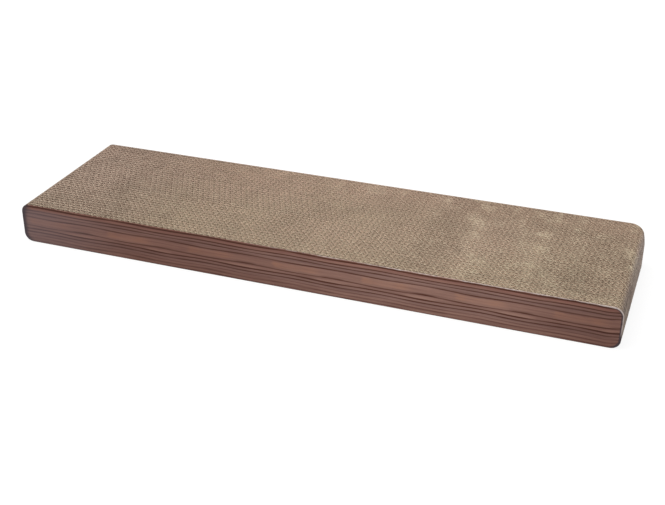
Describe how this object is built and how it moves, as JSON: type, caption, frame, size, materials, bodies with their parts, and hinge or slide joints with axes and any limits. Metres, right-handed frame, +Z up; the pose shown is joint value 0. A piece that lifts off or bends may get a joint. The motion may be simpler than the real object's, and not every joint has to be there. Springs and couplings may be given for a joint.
{
  "type": "cardboard cat scratcher",
  "caption": "Long low slab of corrugated boards glued face to face on edge, with rounded ends, open flutes on top and wood-grain paper on both long sides, for a cat to scratch.",
  "frame": {"origin": "middle of the base", "axes": "+X along the length, +Y across the stack from the front facing to the rear one, +Z up"},
  "size_m": [0.84, 0.2384, 0.0575],
  "materials": {
    "corrugated_board": "raw brown kraft paper, matt",
    "printed_paper": "brown wood-grain print, satin"
  },
  "bodies": {
    "root": {"front_board_outer_liner": "corrugated_board", "front_board_coarse_fluting": "corrugated_board", "front_board_middle_liner": "corrugated_board", "front_board_fine_fluting": "corrugated_board", "front_board_inner_liner": "corrugated_board", "board_02": "corrugated_board", "board_03": "corrugated_board", "board_04": "corrugated_board", "board_05": "corrugated_board", "board_06": "corrugated_board", "board_07": "corrugated_board", "board_08": "corrugated_board", "board_09": "corrugated_board", "board_10": "corrugated_board", "board_11": "corrugated_board", "board_12": "corrugated_board", "board_13": "corrugated_board", "board_14": "corrugated_board", "board_15": "corrugated_board", "board_16": "corrugated_board", "board_17": "corrugated_board", "board_18": "corrugated_board", "board_19": "corrugated_board", "board_20": "corrugated_board", "board_21": "corrugated_board", "board_22": "corrugated_board", "board_23": "corrugated_board", "board_24": "corrugated_board", "board_25": "corrugated_board", "board_26": "corrugated_board", "board_27": "corrugated_board", "board_28": "corrugated_board", "board_29": "corrugated_board", "board_30": "corrugated_board", "board_31": "corrugated_board", "board_32": "corrugated_board", "board_33": "corrugated_board", "board_34": "corrugated_board", "board_35": "corrugated_board", "board_36": "corrugated_board", "front_facing": "printed_paper", "rear_facing": "printed_paper"}
  },
  "joints": []
}
